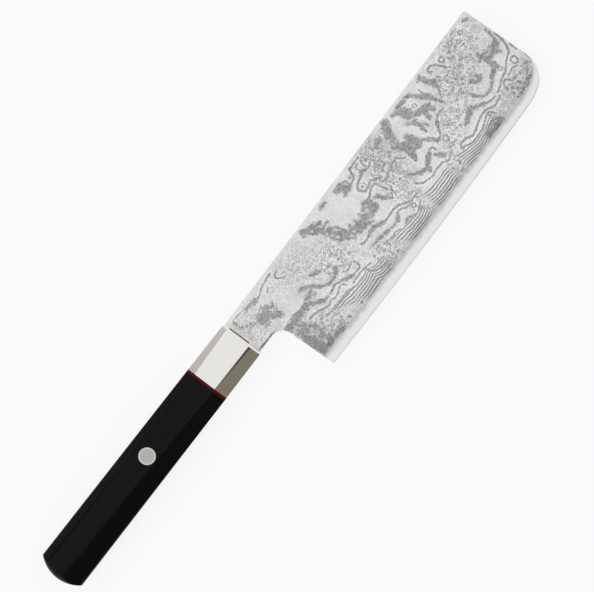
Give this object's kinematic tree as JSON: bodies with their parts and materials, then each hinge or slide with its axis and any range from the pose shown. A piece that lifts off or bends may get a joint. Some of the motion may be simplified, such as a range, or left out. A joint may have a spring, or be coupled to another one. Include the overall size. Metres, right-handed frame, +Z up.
{
  "type": "nakiri knife",
  "caption": "Straight-edged vegetable knife with a layered steel blade, a metal bolster and an eight-sided riveted wooden handle, lying on its side.",
  "frame": {"origin": "centre of the bounding box in X and Y, at the level that the handle's far flat rests on", "axes": "+X from the butt of the handle to the tip of the blade, +Y from the cutting edge towards the spine, +Z up through the side that the picture shows"},
  "size_m": [0.3188, 0.0532, 0.0165],
  "materials": {
    "core_steel": "fine ground, satin",
    "damascus_steel": "folded layers, etched to show a light and dark pattern",
    "bolster_metal": "polished",
    "red_fibre": "satin",
    "black_laminated_wood": "satin, fine grain",
    "epoxy": "cast",
    "rivet_metal": "turned, satin"
  },
  "bodies": {
    "root": {"blade_core": "core_steel", "cladding_near": "damascus_steel", "cladding_far": "damascus_steel", "bolster": "bolster_metal", "liner": "red_fibre", "handle_block": "black_laminated_wood", "tang_adhesive": "epoxy", "rivet_post": "rivet_metal", "rivet_sleeve": "rivet_metal"}
  },
  "joints": []
}
